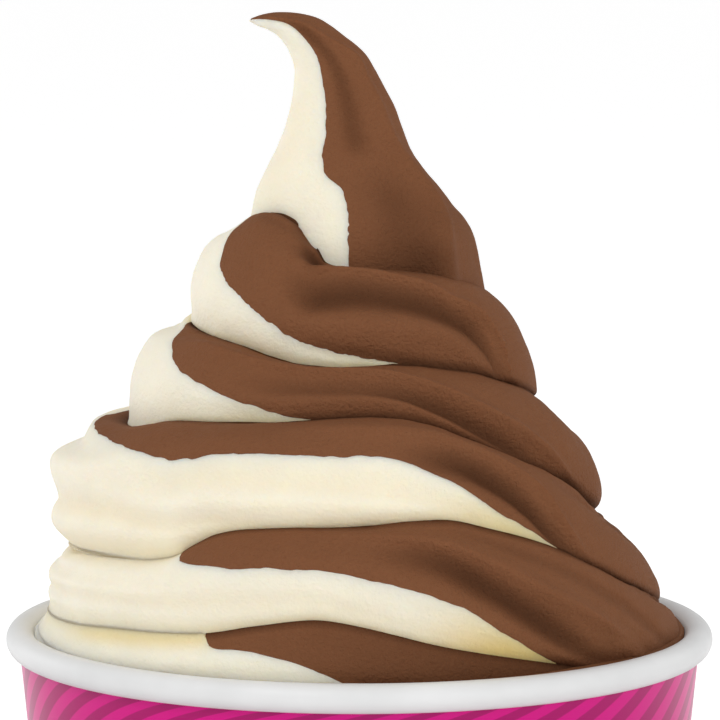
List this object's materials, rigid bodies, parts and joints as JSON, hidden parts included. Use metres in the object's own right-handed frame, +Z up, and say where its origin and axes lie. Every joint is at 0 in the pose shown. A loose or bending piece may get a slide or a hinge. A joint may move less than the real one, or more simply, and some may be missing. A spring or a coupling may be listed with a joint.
{
  "type": "frozen yogurt cup",
  "caption": "Tall twisted swirl of soft-serve frozen yogurt in cream and brown, standing in a tapered paper cup with a rolled rim.",
  "frame": {"origin": "centre of the cup's foot, on the surface that it stands on", "axes": "+Z up through the swirl; -Y towards the side that the picture shows, with the tip of the swirl bent towards -X"},
  "size_m": [0.0978, 0.0978, 0.1544],
  "materials": {
    "paper_cup": "smooth coated white paper; the wall is printed magenta with darker slanting stripes",
    "yogurt_chocolate": "soft matt frozen surface, mid brown",
    "yogurt_vanilla": "soft matt frozen surface, warm cream"
  },
  "bodies": {
    "root": {"paper_cup": "paper_cup", "yogurt_chocolate": "yogurt_chocolate", "yogurt_vanilla": "yogurt_vanilla"}
  },
  "joints": []
}
